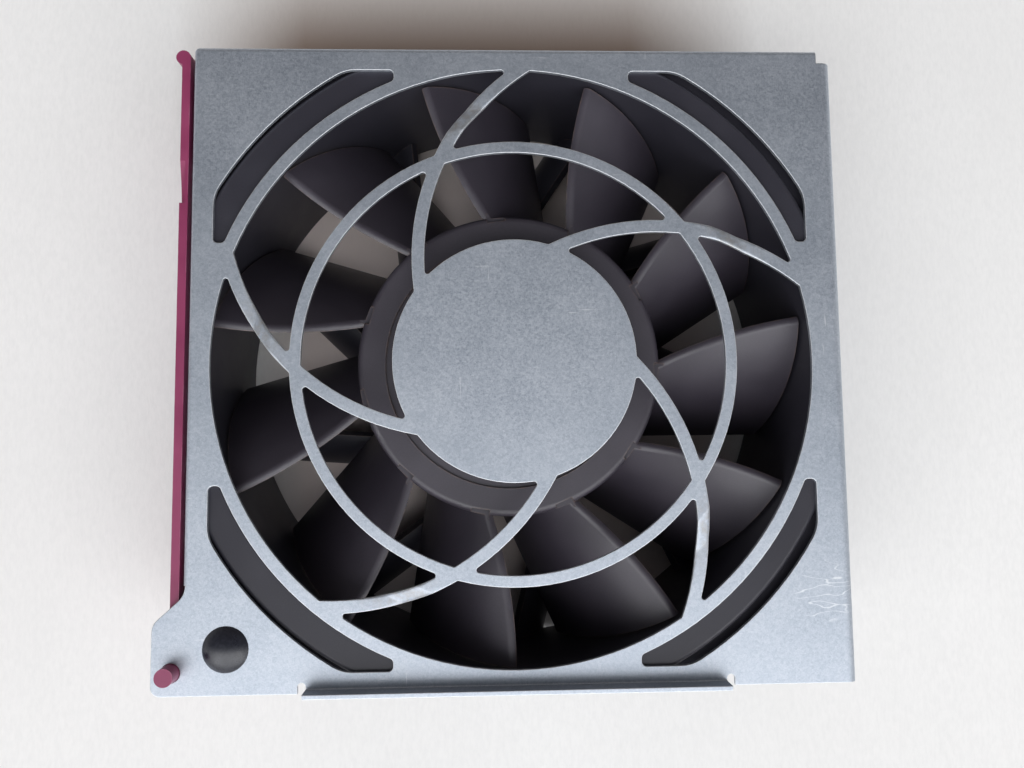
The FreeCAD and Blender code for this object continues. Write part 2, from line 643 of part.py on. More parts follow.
def front_case():
    body = new_body("front_case")
    gauge = size.sheet_gauge
    fold = size.bend_inside + gauge
    right_fold = size.right_bend_inside + gauge
    relief_x = case_right - size.relief_across
    relief_y = case_top - size.corner_relief
    slope_head = case_left + size.slope_head

    plate = new_sketch(body, "XY_Plane", "plate", lift=plate_back)
    outline(plate, [
        (tab_left, case_bottom), (case_right - right_fold, case_bottom),
        (case_right - right_fold, relief_y), (relief_x, relief_y), (relief_x, case_top - fold),
        (case_left + fold, case_top - fold), (case_left + fold, left_wall_foot),
        (slope_head, left_wall_foot), (slope_head, slope_high),
        (tab_left, slope_low)])
    pad(body, plate, gauge)
    # XZ's normal is -Y, so a fold along Y starts at its top end.
    bent_wall(body, "XZ_Plane", "left_wall", case_left, 1, size.bend_inside,
              fold - case_top, case_top - fold - left_wall_foot)
    bent_wall(body, "XZ_Plane", "right_wall", case_right, -1, size.right_bend_inside,
              -relief_y, relief_y - case_bottom)
    bent_wall(body, "YZ_Plane", "top_wall", case_top, -1, size.bend_inside,
              case_left + fold, relief_x - case_left - fold)
    corner_fold(body, fold)
    fillet(body, dim(1.8), edge_at(2, x=tab_left, y=case_bottom), "tab_corner")
    fillet(body, dim(3), edge_at(2, x=tab_left, y=slope_low), "tab_shoulder")
    fillet(body, dim(3.5), edge_at(2, x=slope_head, y=slope_high), "slope_head")

    # Rear clips that hold the fan frame against the plate.
    clips = new_sketch(body, "XY_Plane", "clips", lift=-gauge)
    half_clip = size.clip_width / 2
    clip_place = half - size.clip_inset
    for side in (-1, 1):
        centre = clip_place * side
        rectangle(clips, centre - half_clip, centre + half_clip,
                  half - size.clip_reach, case_top - gauge / 2)
        rectangle(clips, half - size.clip_reach, case_right - gauge / 2,
                  centre - half_clip, centre + half_clip)
    rectangle(clips, case_left + gauge / 2, size.clip_reach - half,
              clip_place - half_clip, clip_place + half_clip)
    pad(body, clips, gauge)

    # Strip of the left wall that carries the rear pivot tab.
    strip = new_sketch(body, "XY_Plane", "pivot_strip", lift=-gauge)
    rectangle(strip, case_left, case_left + gauge, case_bottom, left_wall_foot)
    pad(body, strip, size.rear_tab_level + gauge)
    rear_tab = new_sketch(body, "XY_Plane", "rear_tab", lift=size.rear_tab_level - gauge)
    outline(rear_tab, [
        (tab_left, case_bottom), (case_left + gauge / 2, case_bottom),
        (case_left + gauge / 2, slope_high), (case_left, slope_high),
        (tab_left, slope_low)])
    pad(body, rear_tab, gauge)

    # Bottom lip, turned up towards the front, with a round-ended notch at each end.
    half_lip = size.lip_length / 2
    lip = new_sketch(body, "XY_Plane", "lip", lift=plate_back)
    rectangle(lip, size.guard_offset - half_lip, size.guard_offset + half_lip,
              case_bottom, case_bottom + gauge)
    pad(body, lip, gauge + size.lip_height)
    notches = new_sketch(body, "XY_Plane", "lip_notches", lift=plate_front)
    notch_radius = size.lip_notch / 2
    notch_head = case_bottom + size.lip_notch_depth - notch_radius
    for side in (-1, 1):
        centre = size.guard_offset + side * (half_lip + notch_radius)
        outline(notches, [
            (centre - notch_radius, case_bottom - gauge), (centre + notch_radius, case_bottom - gauge),
            (centre + notch_radius, notch_head), (centre - notch_radius, notch_head)],
            {2: Bow(notch_radius * 1.001, 1)})
    pocket(body, notches, gauge)
    fillet(body, size.bend_inside, edge_at(0, y=case_bottom + gauge, z=plate_front), "lip_inside")
    fillet(body, fold, edge_at(0, x=size.guard_offset, y=case_bottom, z=plate_back), "lip_bend")

    finger_guard(body)
    corner_slots(body)
    fillet(body, size.window_round, window_corner, "window_corners")
    fillet(body, dim(0.95), slot_tip_corner, "slot_tips")
    fillet(body, size.slot_shoulder, slot_shoulder_corner, "slot_shoulders")

    holes = new_sketch(body, "XY_Plane", "rivet_hole", lift=plate_front)
    circle(holes, size.rivet_hole + size.rivet_play, -hole_place, -hole_place)
    pocket(body, holes, gauge)
    pivots = new_sketch(body, "XY_Plane", "pivot_holes", lift=plate_front)
    circle(pivots, size.pin_radius + size.pin_play, pivot_x, pivot_y)
    pocket(body, pivots, plate_front + gauge)

    window = new_sketch(body, "YZ_Plane", "socket_window", lift=case_right)
    reach_y = size.socket_across / 2 + size.socket_play
    reach_z = size.socket_tall / 2 + size.socket_play
    rectangle(window, socket_centre - reach_y, socket_centre + reach_y,
              size.socket_level - reach_z, size.socket_level + reach_z)
    pocket(body, window, gauge)
    return body


def push_rivet():
    """Plastic push rivet: a domed head on the plate and a barbed shank in the frame's ear."""
    shank = size.rivet_hole - size.rivet_play
    barb = size.rivet_hole + dim(0.35)
    under_ear = ear_front - size.ear_depth
    tip = under_ear - dim(2.6)
    head, dome = size.rivet_head, size.rivet_dome
    crown = (head * head + dome * dome) / (2 * dome)
    body = turned("push_rivet", [
        (dim(0), tip), (shank - dim(0.7), tip), (barb, under_ear - dim(0.9)),
        (shank, under_ear - dim(0.3)), (shank, plate_front), (head, plate_front),
        (dim(0), plate_front + dome)],
        {5: Bow(crown, 1)})
    place(body, -hole_place, -hole_place)
    return body


def place(body, x=0, y=0, z=0):
    """Seats a body, its shift bound to the sheet."""
    body.Placement = Placement(Vector(dim(x).value, dim(y).value, dim(z).value), Rotation())
    bind(body, "Placement.Base.x", x)
    bind(body, "Placement.Base.y", y)
    bind(body, "Placement.Base.z", z)


def handle_lever():
    """The pull lever: a thin web with a finger window, a barrel and pins at its foot and a bead
    along its free edge."""
    body = new_body("handle_lever")
    web = new_sketch(body, "YZ_Plane", "web", lift=lever_outside)
    rectangle(web, pivot_y, lever_top, lever_rear, lever_front)
    pad(body, web, size.lever_gauge)
    window = new_sketch(body, "YZ_Plane", "finger_window", lift=lever_outside)
    rectangle(window, size.grip_low - half, half - size.grip_high,
              lever_rear + size.grip_rail, lever_front - size.grip_rail)
    pocket(body, window, size.lever_gauge, forwards=True)
    barrel = new_sketch(body, "XY_Plane", "barrel", lift=lever_rear)
    circle(barrel, size.barrel_radius, pivot_x, pivot_y)
    pad(body, barrel, lever_front - lever_rear)
    bead = new_sketch(body, "XY_Plane", "bead", lift=lever_rear)
    circle(bead, size.bead_radius, lever_inside - size.bead_radius, lever_top)
    pad(body, bead, lever_front - lever_rear)
    front_pin = new_sketch(body, "XY_Plane", "front_pin", lift=lever_front)
    circle(front_pin, size.pin_radius, pivot_x, pivot_y)
    pad(body, front_pin, plate_front + size.pin_stand - lever_front)
    rear_pin = new_sketch(body, "XY_Plane", "rear_pin", lift=lever_rear)
    circle(rear_pin, size.pin_radius, pivot_x, pivot_y)
    pad(body, rear_pin, lever_rear - dim(0.3), backwards=True)
    # Thumb relief in the web's front edge.
    relief = new_sketch(body, "YZ_Plane", "thumb_relief", lift=lever_outside)
    relief_low, relief_high, relief_depth = lever_top - dim(28.9), lever_top - dim(18.9), dim(1.4)
    outline(relief, [
        (relief_low, lever_front + dim(0.5)), (relief_low, lever_front - relief_depth),
        (relief_high, lever_front + dim(0.5))], {1: Bow(dim(45), 1)})
    pocket(body, relief, size.lever_gauge * 0.6, forwards=True)
    return body


# ---- fan frame -----------------------------------------------------------------------------------

def fan_frame():
    body = new_body("fan_frame")
    duct = new_sketch(body, "XY_Plane", "duct")
    circle(duct, duct_outside)
    circle(duct, duct_inside)
    pad(body, duct, size.fan_depth)

    # Round inlet flange, cut off square at the frame's four sides.
    flange = new_sketch(body, "XY_Plane", "inlet_flange", lift=size.fan_depth - size.flange_depth)
    cut = other_leg(flange_radius, half).value
    corners = [(half, -cut), (half, cut), (cut, half), (-cut, half),
               (-half, cut), (-half, -cut), (-cut, -half), (cut, -half)]
    axis = (0, 0)
    outline(flange, corners, {side: Bow(flange_radius, 1, axis) for side in (1, 3, 5, 7)})
    circle(flange, duct_inside)
    pad(body, flange, size.flange_depth)
    fillet(body, size.inlet_round, ring_edge_at(duct_inside, size.fan_depth), "inlet")
    fillet(body, dim(0.9), ring_edge_at(flange_radius, size.fan_depth), "flange_edge")

    corner_ears(body, "rear_ears", dim(0))
    corner_ears(body, "front_ears", ear_front - size.ear_depth)
    fillet(body, size.ear_round, corner_post(half), "ear_corners")
    ear_holes(body, "rear_hole", size.ear_depth, size.hole_radius)
    ear_holes(body, "front_hole", size.fan_depth, size.rivet_hole)
    return body


def corner_ears(body, name, level):
    """Square plate round the duct; its corners are the ears."""
    ears = new_sketch(body, "XY_Plane", name, lift=level)
    rectangle(ears, -half, half, -half, half)
    circle(ears, (duct_outside + duct_inside) / 2)
    pad(body, ears, size.ear_depth)


def ear_holes(body, name, level, radius):
    """One hole through each of the four ears whose front face is at level."""
    sketch = new_sketch(body, "XY_Plane", name, lift=level)
    circle(sketch, radius, hole_place, hole_place)
    first = pocket(body, sketch, size.ear_depth + size.ear_recess)
    polar(body, [first], sketch, dim(4))


def corner_post(reach):
    def chosen(edge):
        point = edge.CenterOfMass
        at_corner = near(abs(point.x), reach) and near(abs(point.y), reach)
        return runs_along(edge, 2) and at_corner
    return chosen


def motor_base(body):
    """Dish at the rear centre that carries the circuit board and, on its post, the motor."""
    section = new_sketch(body, "XZ_Plane", "motor_base")
    rim_inside = size.base_radius - size.base_wall
    outline(section, [
        (post_inside, dim(0)), (size.base_radius, dim(0)), (size.base_radius, size.base_rim),
        (rim_inside, size.base_rim), (rim_inside, size.base_floor), (post_outside, size.base_floor),
        (post_outside, size.post_height), (post_inside, size.post_height)])
    revolve(body, section)


def guide_vanes():
    """The motor base and its curved vanes, which end at the duct. Each vane stands beside the line
    through the axis and leans against the impeller's swirl; its section is square to its length."""
    body = new_body("guide_vanes")
    motor_base(body)
    front_offset = size.vane_offset - size.vane_sweep - size.vane_width
    start = other_leg(size.base_radius - size.base_wall, size.vane_offset)
    end = other_leg(duct_outside, front_offset)
    phase = size.vane_phase
    sketch = new_sketch(body, "YZ_Plane", "vane",
                        across=start * sine(phase) + size.vane_offset * cosine(phase),
                        lift=start * cosine(phase) - size.vane_offset * sine(phase),
                        turn=phase)
    thick = size.vane_width
    outline(sketch, [
        (dim(0), dim(0)), (-size.vane_sweep, size.vane_depth),
        (-size.vane_sweep - thick * 0.6, size.vane_depth - thick * 0.8), (-thick, dim(0))],
        {0: Bow(dim(11), 1), 2: Bow(dim(10), -1)})
    vane = pad(body, sketch, end - start)
    axis_sketch = new_sketch(body, "XY_Plane", "vane_axis")
    circle(axis_sketch, dim(1))
    polar(body, [vane], axis_sketch, size.vane_count)
    # Trim the vanes to the inside of the motor base and to the inside of the duct.
    clear = new_sketch(body, "XZ_Plane", "vane_trim")
    rectangle(clear, post_outside, size.base_radius - size.base_wall,
              size.base_floor, size.vane_depth + dim(1))
    rectangle(clear, duct_inside, duct_inside + dim(9), dim(-1), size.vane_depth + dim(1))
    groove(body, clear)
    return body


# ---- impeller ------------------------------------------------------------------------------------

def blade_section(body, name, plane_distance, lead, front):
    """A blade's section square to its line: two cambered sides between rounded edges."""
    sketch = new_sketch(body, "YZ_Plane", name, lift=plane_distance)
    edge = size.blade_width / 2
    trail = -size.blade_trail
    outline(sketch, [
        (lead - edge, front), (trail - edge, size.blade_rear),
        (trail + edge, size.blade_rear), (lead + edge, front)],
        {0: Bow(size.blade_bow, 1), 1: Bow(edge * 1.5, 1), 2: Bow(size.blade_bow, -1),
         3: Bow(edge * 1.5, 1)})
    return sketch


def impeller():
    body = new_body("impeller")
    tip_radius = duct_inside - size.tip_clearance
    dish_floor = size.hub_front - size.hub_dish_depth
    hub = new_sketch(body, "XZ_Plane", "hub")
    outline(hub, [
        (dim(0), size.hub_rear), (size.hub_radius, size.hub_rear), (size.hub_radius, size.hub_front),
        (size.hub_dish, size.hub_front), (size.hub_dish, dish_floor), (dim(0), dish_floor)])
    revolve(body, hub)
    fillet(body, size.hub_round, ring_edge_at(size.hub_radius, size.hub_front), "hub_front_edge")

    root_plane = size.hub_radius - dim(4.2)
    tip_plane = tip_radius + dim(1.5)
    middle_plane = (size.hub_radius + tip_radius) / 2
    blade = body.newObject("PartDesign::AdditiveLoft", "impeller_blade")
    blade.Profile = blade_section(body, "blade_root", root_plane, size.blade_lead_root,
                                  size.blade_front_root)
    blade.Sections = [
        blade_section(body, "blade_middle", middle_plane, size.blade_lead_middle,
                      size.blade_front_middle),
        blade_section(body, "blade_tip", tip_plane, size.blade_lead_tip, size.blade_front_tip)]
    axis_sketch = new_sketch(body, "XY_Plane", "blade_axis")
    circle(axis_sketch, dim(1))
    polar(body, [blade], axis_sketch, size.blade_count)

    # Nick in the hub's front edge where each blade's leading edge starts.
    nick = new_sketch(body, "XY_Plane", "nick", lift=size.hub_front)
    rectangle(nick, size.hub_radius - size.nick_depth, size.hub_radius + dim(1),
              -size.nick_length, dim(0))
    cut = pocket(body, nick, size.nick_depth)
    polar(body, [cut], axis_sketch, size.blade_count)

    # Trim the blade tips to the duct and open the cup for the motor.
    trim = new_sketch(body, "XZ_Plane", "tip_trim")
    rectangle(trim, tip_radius, tip_radius + dim(12),
              size.blade_rear - dim(2), size.blade_front_tip + dim(2))
    groove(body, trim)
    cup = new_sketch(body, "XZ_Plane", "cup")
    rectangle(cup, dim(0), hub_inside, size.hub_rear - dim(1), yoke_front + size.seat_play)
    groove(body, cup)
    return body


# ---- rotor ---------------------------------------------------------------------------------------

def rotor_yoke():
    """Steel cup that closes the magnet's field."""
    bore = size.bush_radius + size.seat_play
    under = yoke_front - size.yoke_wall
    return turned("rotor_yoke", [
        (bore, under), (yoke_inside, under), (yoke_inside, size.yoke_rear),
        (yoke_outside, size.yoke_rear), (yoke_outside, yoke_front), (bore, yoke_front)])


def magnet_ring():
    low = size.yoke_rear + dim(0.6)
    return tube("magnet_ring", magnet_inside, magnet_outside, low, low + size.magnet_height)


def shaft_bush():
    """Brass bush pressed into the yoke, with the shaft pressed into it."""
    bore = size.shaft_radius + size.seat_play
    under = yoke_front - size.yoke_wall
    low = yoke_front - size.bush_length
    return turned("shaft_bush", [
        (bore, low), (size.bush_radius - dim(0.6), low), (size.bush_radius - dim(0.6), under - dim(1.6)),
        (size.bush_flange, under - dim(1.6)), (size.bush_flange, under), (size.bush_radius, under),
        (size.bush_radius, yoke_front), (bore, yoke_front)])


RING_GROOVE_DEPTH = dim(0.4)
RING_GROOVE_WIDTH = dim(0.6)


def shaft():
    """Ground shaft, with the groove for its retaining ring near the rear end."""
    low = size.shaft_rear
    groove_low = low + dim(0.6)
    groove_high = groove_low + RING_GROOVE_WIDTH
    groove_radius = size.shaft_radius - RING_GROOVE_DEPTH
    chamfer = dim(0.3)
    return turned("shaft", [
        (dim(0), low), (size.shaft_radius - chamfer, low), (size.shaft_radius, low + chamfer),
        (size.shaft_radius, groove_low), (groove_radius, groove_low),
        (groove_radius, groove_high), (size.shaft_radius, groove_high),
        (size.shaft_radius, yoke_front - chamfer), (size.shaft_radius - chamfer, yoke_front),
        (dim(0), yoke_front)])


def retaining_ring():
    """Split ring in the shaft's groove."""
    low = size.shaft_rear + dim(0.6) + dim(0.05)
    high = low + RING_GROOVE_WIDTH - dim(0.1)
    body = tube("retaining_ring", size.shaft_radius - RING_GROOVE_DEPTH + size.seat_play,
                size.shaft_radius + dim(1.3), low, high)
    gap = new_sketch(body, "XY_Plane", "split", lift=high)
    rectangle(gap, dim(0), size.shaft_radius + dim(2), dim(-0.7), dim(0.7))
    pocket(body, gap, RING_GROOVE_WIDTH)
    return body


def spacer_washer():
    low = size.shaft_rear + dim(0.6) + RING_GROOVE_WIDTH
    return tube("spacer_washer", size.shaft_radius + size.seat_play, size.shaft_radius + dim(0.9),
                low, size.rear_bearing)


def preload_spring():
    """Stacked disc springs between the bush and the front bearing's inner ring."""
    low = size.front_bearing + size.bearing_height
    high = yoke_front - size.bush_length
    leaves = 4
    near_edge, far_edge, leaf = size.shaft_radius + dim(0.25), size.shaft_radius + dim(0.95), dim(0.35)
    rise = [(far_edge if fold % 2 else near_edge, low + (high - low) * dim(fold / leaves))
            for fold in range(leaves + 1)]
    descent = [(edge + leaf, level) for edge, level in reversed(rise)]
    return turned("preload_spring", rise + descent)


# ---- bearings ------------------------------------------------------------------------------------

def ball_bearing(name, level):
    """Deep-groove bearing: two rings, the balls and their cage, centred half its height up."""
    middle = level + size.bearing_height / 2
    bore = size.shaft_radius + size.seat_play
    pitch_radius = (size.bearing_outer + bore) / 2
    inner_land = bore + size.race_wall
    outer_land = size.bearing_outer - size.race_wall
    track = size.ball_radius + size.ball_play
    inner_rise = other_leg(track, pitch_radius - inner_land)
    outer_rise = other_leg(track, outer_land - pitch_radius)
    high = level + size.bearing_height
    pieces = [
        turned(name + "_inner_ring", [
            (bore, level), (inner_land, level), (inner_land, middle - inner_rise),
            (inner_land, middle + inner_rise), (inner_land, high), (bore, high)],
            {2: Bow(track, -1)}),
        turned(name + "_outer_ring", [
            (outer_land, level), (size.bearing_outer, level), (size.bearing_outer, high),
            (outer_land, high), (outer_land, middle + outer_rise), (outer_land, middle - outer_rise)],
            {4: Bow(track, -1)}),
        ball_set(name + "_balls", pitch_radius, middle),
        cage_ring(name + "_cage", pitch_radius, middle),
    ]
    return pieces


def ball_set(name, pitch_radius, middle):
    """The balls of one bearing, spaced evenly round the pitch circle."""
    balls = []
    for index in range(int(size.ball_count.value)):
        ball = doc.addObject("Part::Sphere", "%s_%d" % (name, index + 1))
        bind(ball, "Radius", size.ball_radius)
        angle = dim(360 * index) / size.ball_count
        bind(ball, "Placement.Base.x", pitch_radius * cosine(angle))
        bind(ball, "Placement.Base.y", pitch_radius * sine(angle))
        bind(ball, "Placement.Base.z", middle)
        balls.append(ball)
    group = doc.addObject("Part::Compound", name)
    group.Label = name
    group.Links = balls
    return group


def cage_ring(name, pitch_radius, middle):
    """Ball cage: a thin band with a round pocket for each ball."""
    wall = dim(0.3)
    reach = size.ball_radius + dim(0.4)
    body = tube(name, pitch_radius - wall, pitch_radius + wall, middle - reach, middle + reach)
    sketch = new_sketch(body, "YZ_Plane", "ball_pocket", up=middle, lift=pitch_radius + dim(1))
    circle(sketch, size.ball_radius + size.ball_play)
    cut = pocket(body, sketch, dim(2))
    axis_sketch = new_sketch(body, "XY_Plane", "cage_axis")
    circle(axis_sketch, dim(1))
    polar(body, [cut], axis_sketch, size.ball_count)
    return body


def bearing_sleeve():
    """Brass sleeve with a seat for a bearing at each end and a shoulder between them."""
    seat = size.bearing_outer + size.seat_play
    shoulder = seat - size.sleeve_step
    rear_stop = size.rear_bearing + size.bearing_height
    return turned("bearing_sleeve", [
        (seat, size.sleeve_rear), (sleeve_outside, size.sleeve_rear),
        (sleeve_outside, size.sleeve_front), (seat, size.sleeve_front),
        (seat, size.front_bearing), (shoulder, size.front_bearing),
        (shoulder, rear_stop), (seat, rear_stop)])


# ---- stator --------------------------------------------------------------------------------------

def toothed_disc(name, low, height, margin):
    """Ring with teeth and pole shoes, the outline that the core and both insulators share."""
    body = new_body(name)
    ring = new_sketch(body, "XY_Plane", "ring", lift=low)
    circle(ring, core_inside)
    circle(ring, core_inside + size.core_ring)
    pad(body, ring, height)
    tooth = new_sketch(body, "XY_Plane", "tooth", lift=low)
    shoe_inner = stator_radius - size.tooth_tip
    half_width = size.tooth_width / 2 + margin
    rectangle(tooth, core_inside + size.core_ring / 2, shoe_inner + dim(0.3), -half_width, half_width)
    tooth_pad = pad(body, tooth, height)
    shoe = new_sketch(body, "XY_Plane", "shoe", lift=low)
    span = size.shoe_half_angle
    across, along = sine(span), cosine(span)
    axis = (0, 0)
    outline(shoe, [
        (shoe_inner.value * along.value, -shoe_inner.value * across.value),
        ((stator_radius * along), -stator_radius.value * across.value),
        ((stator_radius * along), stator_radius.value * across.value),
        (shoe_inner.value * along.value, shoe_inner.value * across.value)],
        {1: Bow(stator_radius, 1, axis), 3: Bow(shoe_inner, -1, axis)})
    shoe.addConstraint(Sketcher.Constraint("PointOnObject", -1, 1, 0))
    shoe.addConstraint(Sketcher.Constraint("PointOnObject", -1, 1, 2))
    shoe_pad = pad(body, shoe, height)
    polar(body, [tooth_pad, shoe_pad], ring, size.tooth_count)
    return body


def rear_insulator():
    """Insulator under the core, with legs that carry the circuit board."""
    low = size.core_rear - size.insulator_gauge
    body = toothed_disc("rear_insulator", low, size.insulator_gauge, size.insulator_margin)
    legs = new_sketch(body, "XY_Plane", "legs", lift=low)
    half_step = dim(180) / size.tooth_count
    reach = core_inside + size.core_ring - dim(1)
    circle(legs, dim(0.9), reach * cosine(half_step), reach * sine(half_step))
    leg = pad(body, legs, low - size.board_level - size.board_gauge, backwards=True)
    polar(body, [leg], legs, dim(3))
    return body


def coil_windings():
    """One winding round each tooth: a rounded block with the tooth's slot through it."""
    inner_height = size.core_height + size.insulator_gauge * 2
    inner_width = size.tooth_width + size.insulator_margin * 2
    build = size.coil_build
    start = core_inside + size.core_ring + dim(0.4)
    low = size.core_rear - size.insulator_gauge
    coils = []
    for index in range(int(size.tooth_count.value)):
        outer = doc.addObject("Part::Box", "coil_block_%d" % (index + 1))
        bind(outer, "Length", size.coil_length)
        bind(outer, "Width", inner_width + build * 2)
        bind(outer, "Height", inner_height + build)
        bind(outer, "Placement.Base.x", start)
        bind(outer, "Placement.Base.y", -(inner_width / 2 + build))
        bind(outer, "Placement.Base.z", low - build / 2)
        slot = doc.addObject("Part::Box", "coil_slot_%d" % (index + 1))
        bind(slot, "Length", size.coil_length + dim(2))
        bind(slot, "Width", inner_width)
        bind(slot, "Height", inner_height)
        bind(slot, "Placement.Base.x", start - dim(1))
        bind(slot, "Placement.Base.y", -(inner_width / 2))
        bind(slot, "Placement.Base.z", low)
        coil = doc.addObject("Part::Cut", "coil_%d" % (index + 1))
        coil.Base = outer
        coil.Tool = slot
        coil.Placement = Placement(Vector(), Rotation(Vector(0, 0, 1), 0))
        bind(coil, "Placement.Rotation.Angle", dim(360 * index) / size.tooth_count)
        coils.append(coil)
    group = doc.addObject("Part::Compound", "coil_windings")
    group.Label = "coil_windings"
    group.Links = coils
    return group


# ---- electronics ---------------------------------------------------------------------------------

def box_piece(name, x, y, low, length, width, height):
    """A rectangular body centred at x, y."""
    body = new_body(name)
    sketch = new_sketch(body, "XY_Plane", "outline", lift=low)
    rectangle(sketch, x - length / 2, x + length / 2, y - width / 2, y + width / 2)
    pad(body, sketch, height)
    return body


def circuit_board():
    body = new_body("circuit_board")
    sketch = new_sketch(body, "XY_Plane", "outline", lift=size.board_level)
    circle(sketch, size.board_radius)
    circle(sketch, size.board_bore)
    pad(body, sketch, size.board_gauge)
    return body


def driver_chip():
    height = dim(1.4)
    return box_piece("driver_chip", dim(0), dim(18), size.board_level - height,
                     dim(9), dim(7), height)


def hall_sensor():
    height = dim(1.3)
    return box_piece("hall_sensor", magnet_inside + dim(0.5) - dim(1.5), dim(0),
                     size.board_level + size.board_gauge, dim(3), dim(4), height)


def power_switches():
    """Four transistors soldered under the board."""
    body = new_body("power_switches")
    height = dim(1.2)
    for index, angle in enumerate((200, 235, 305, 340)):
        sketch = new_sketch(body, "XY_Plane", "switch_%d" % (index + 1), lift=size.board_level)
        x = dim(19) * cosine(dim(angle))
        y = dim(19) * sine(dim(angle))
        rectangle(sketch, x - dim(2.2), x + dim(2.2), y - dim(1.8), y + dim(1.8))
        pad(body, sketch, height, backwards=True)
    return body


def filter_capacitor():
    height = dim(3)
    body = new_body("filter_capacitor")
    sketch = new_sketch(body, "XY_Plane", "can", lift=size.board_level)
    circle(sketch, dim(2.5), dim(-17), dim(9))
    pad(body, sketch, height, backwards=True)
    return body


# ---- connector -----------------------------------------------------------------------------------

def contact_centres():
    """Y of each contact, in a row about the connector's centre."""
    count = int(size.contact_count.value)
    return [socket_centre + (index - (count - 1) / 2) * size.contact_pitch for index in range(count)]


def connector_housing():
    """Blind-mate receptacle, seated in the right wall's window with a flange behind the wall."""
    body = new_body("connector_housing")
    wall_inside = case_right - size.sheet_gauge
    front = case_right
    block = new_sketch(body, "YZ_Plane", "block", lift=front - size.socket_deep)
    half_y, half_z = size.socket_across / 2, size.socket_tall / 2
    rectangle(block, socket_centre - half_y, socket_centre + half_y,
              size.socket_level - half_z, size.socket_level + half_z)
    pad(body, block, size.socket_deep)
    flange = new_sketch(body, "YZ_Plane", "flange", lift=wall_inside - dim(1.5))
    rectangle(flange, socket_centre - half_y - dim(1.4), socket_centre + half_y + dim(1.4),
              size.socket_level - half_z - dim(3.2), size.socket_level + half_z + dim(3.2))
    pad(body, flange, dim(1.5))
    wells = new_sketch(body, "YZ_Plane", "contact_wells", lift=front)
    half_well = size.contact_size / 2 + dim(0.25)
    for centre in contact_centres():
        rectangle(wells, centre - half_well, centre + half_well,
                  size.socket_level - half_well * 2, size.socket_level + half_well * 2)
    pocket(body, wells, size.socket_deep - dim(1.5))
    return body


def connector_contacts():
    """The receptacle's contacts, one blade in each well."""
    body_front = case_right - dim(1)
    floor = case_right - size.socket_deep + dim(1.5)
    blades = []
    for index, centre in enumerate(contact_centres()):
        blade = doc.addObject("Part::Box", "contact_%d" % (index + 1))
        bind(blade, "Length", body_front - floor)
        bind(blade, "Width", size.contact_size)
        bind(blade, "Height", size.contact_size / 2)
        bind(blade, "Placement.Base.x", floor)
        bind(blade, "Placement.Base.y", centre - size.contact_size / 2)
        bind(blade, "Placement.Base.z", size.socket_level - size.contact_size / 4)
        blades.append(blade)
    group = doc.addObject("Part::Compound", "connector_contacts")
    group.Label = "connector_contacts"
    group.Links = blades
    return group


def base_plug():
    """Cap pressed into the rear of the motor base, under the shaft's end."""
    return disc_piece("base_plug", post_inside - size.seat_play, dim(0.2), dim(1.6))


PIECES = [
    front_case(), push_rivet(), handle_lever(), fan_frame(), guide_vanes(), impeller(), rotor_yoke(),
    magnet_ring(), shaft_bush(), shaft(), retaining_ring(), spacer_washer(), preload_spring(),
    *ball_bearing("front_bearing", size.front_bearing),
    *ball_bearing("rear_bearing", size.rear_bearing),
    bearing_sleeve(),
    toothed_disc("stator_core", size.core_rear, size.core_height, dim(0)),
    toothed_disc("front_insulator", size.core_rear + size.core_height, size.insulator_gauge,
                 size.insulator_margin),
    rear_insulator(), coil_windings(), circuit_board(), driver_chip(), hall_sensor(),
    power_switches(), filter_capacitor(), base_plug(), connector_housing(), connector_contacts(),
]

doc.recompute()
for item in doc.Objects:
    if "Invalid" in item.State or "Error" in item.State:
        raise RuntimeError("%s failed: %s" % (item.Label, item.State))

os.makedirs("parts", exist_ok=True)
for piece in PIECES:
    shape = piece.Shape
    if shape.isNull() or not shape.isValid():
        raise RuntimeError("%s has no valid shape" % piece.Label)
    shape.exportStep("parts/%s.step" % piece.Label)
    print("%-28s %2d solids %10.2f mm3" % (piece.Label, len(shape.Solids), shape.Volume))
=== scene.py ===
import json
import math

import bpy
from mathutils import Matrix, Quaternion, Vector


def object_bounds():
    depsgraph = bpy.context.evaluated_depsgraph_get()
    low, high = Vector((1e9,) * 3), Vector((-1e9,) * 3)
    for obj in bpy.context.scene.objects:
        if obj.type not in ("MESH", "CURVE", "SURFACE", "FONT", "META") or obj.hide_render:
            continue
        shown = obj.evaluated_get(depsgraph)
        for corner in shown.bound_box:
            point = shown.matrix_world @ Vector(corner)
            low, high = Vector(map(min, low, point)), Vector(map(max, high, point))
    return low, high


MM = 0.001

# The photograph's camera: places in millimetres, and its turn as a rotation vector in radians.
PHOTO_WIDTH = 1024
FOCAL_LENGTH_PIXELS = 815
SENSOR_WIDTH = 36
CAMERA_ACROSS = -5.36
CAMERA_ALONG = -17.23
CAMERA_OVER_PLATE = 153.55
CAMERA_TURN = (-0.08333, -0.03596, -0.0098)

# The front plate, in the part's millimetres.
PLATE_TOP = 38.8
GUARD_CENTRE = (0.8, 0, 0)
SCRATCHED_CORNER = (58.5, -44.0, 0)

# The ring about the guard's centre in which its arms are drawn up from the plate.
DRAWN_START = 42.5
DRAWN_FULL = 47.0
DRAWN_FADING = 48.0
DRAWN_END = 54.0

FLOOR_HALF = 4.0
FLOOR_GAP = 0.0002
SMOOTH_ANGLE = math.radians(32)

